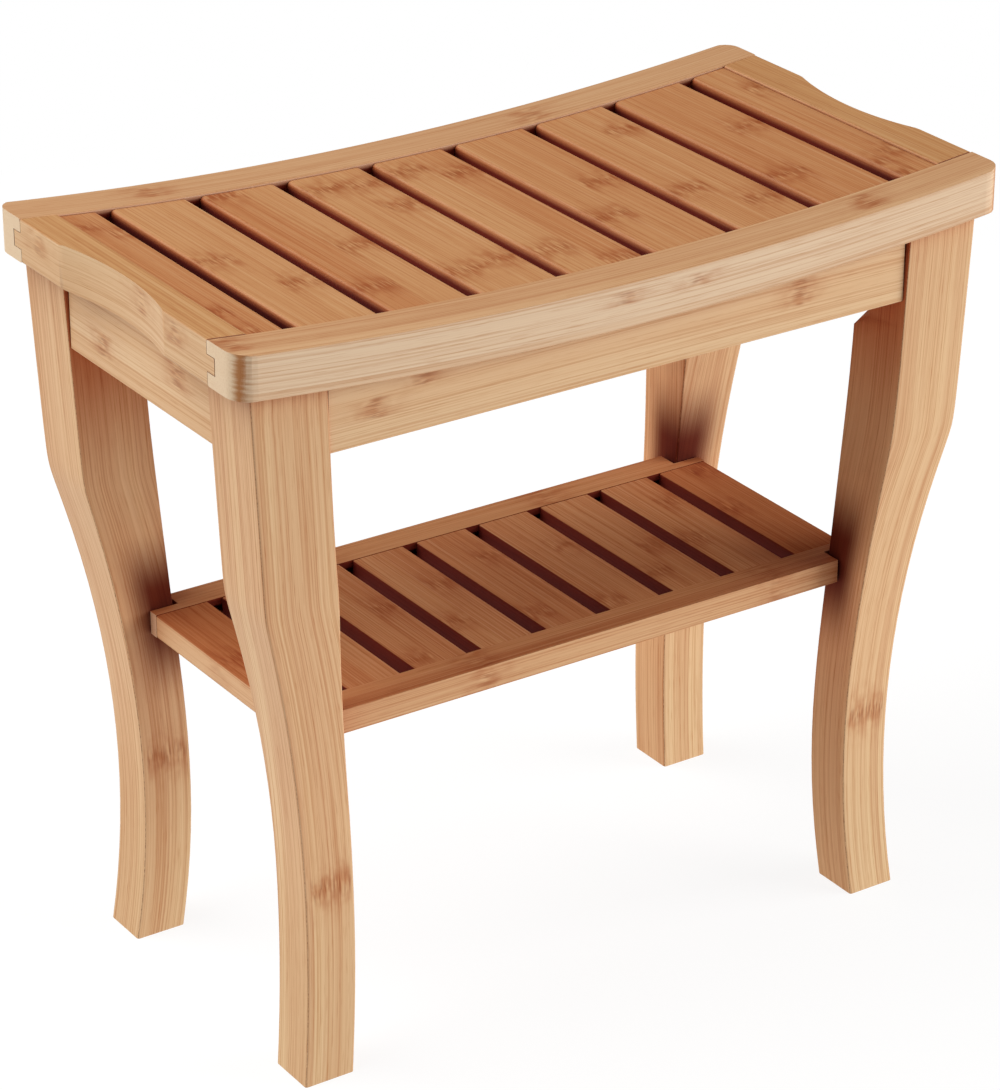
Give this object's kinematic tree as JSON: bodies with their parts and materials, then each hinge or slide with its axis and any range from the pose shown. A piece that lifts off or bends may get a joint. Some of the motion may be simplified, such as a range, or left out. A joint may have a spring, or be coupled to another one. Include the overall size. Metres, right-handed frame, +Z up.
{
  "type": "shower stool",
  "caption": "Bamboo shower stool with a dished slatted seat, hand-holds at both ends, four sabre legs and a slatted shelf between them.",
  "frame": {"origin": "on the floor, under the middle of the seat", "axes": "+X along the seat, +Y to its back, +Z up"},
  "size_m": [0.49, 0.258, 0.45],
  "materials": {
    "rail_bamboo": "satin varnished light bamboo",
    "slat_bamboo": "satin varnished caramel bamboo",
    "leg_bamboo": "satin varnished light bamboo",
    "shelf_bamboo": "satin varnished caramel bamboo",
    "fixing_steel": "zinc plated"
  },
  "bodies": {
    "root": {"rail_front": "rail_bamboo", "rail_back": "rail_bamboo", "rail_left": "rail_bamboo", "rail_right": "rail_bamboo", "seat_slat_1": "slat_bamboo", "seat_slat_2": "slat_bamboo", "seat_slat_3": "slat_bamboo", "seat_slat_4": "slat_bamboo", "seat_slat_5": "slat_bamboo", "seat_slat_6": "slat_bamboo", "seat_slat_7": "slat_bamboo", "seat_slat_8": "slat_bamboo", "seat_slat_9": "slat_bamboo", "seat_batten_front": "slat_bamboo", "seat_batten_back": "slat_bamboo", "apron_front": "rail_bamboo", "apron_back": "rail_bamboo", "apron_left": "rail_bamboo", "apron_right": "rail_bamboo", "leg_front_left": "leg_bamboo", "corner_block_front_left": "rail_bamboo", "corner_bolt_front_left": "fixing_steel", "corner_washer_front_left": "fixing_steel", "corner_nut_front_left": "fixing_steel", "shelf_dowel_front_left": "rail_bamboo", "leg_front_right": "leg_bamboo", "corner_block_front_right": "rail_bamboo", "corner_bolt_front_right": "fixing_steel", "corner_washer_front_right": "fixing_steel", "corner_nut_front_right": "fixing_steel", "shelf_dowel_front_right": "rail_bamboo", "shelf_rail_front": "shelf_bamboo", "leg_back_left": "leg_bamboo", "corner_block_back_left": "rail_bamboo", "corner_bolt_back_left": "fixing_steel", "corner_washer_back_left": "fixing_steel", "corner_nut_back_left": "fixing_steel", "shelf_dowel_back_left": "rail_bamboo", "leg_back_right": "leg_bamboo", "corner_block_back_right": "rail_bamboo", "corner_bolt_back_right": "fixing_steel", "corner_washer_back_right": "fixing_steel", "corner_nut_back_right": "fixing_steel", "shelf_dowel_back_right": "rail_bamboo", "shelf_rail_back": "shelf_bamboo", "shelf_slat_1": "shelf_bamboo", "shelf_slat_2": "shelf_bamboo", "shelf_slat_3": "shelf_bamboo", "shelf_slat_4": "shelf_bamboo", "shelf_slat_5": "shelf_bamboo", "shelf_slat_6": "shelf_bamboo", "shelf_slat_7": "shelf_bamboo", "shelf_slat_8": "shelf_bamboo", "shelf_slat_9": "shelf_bamboo"}
  },
  "joints": []
}
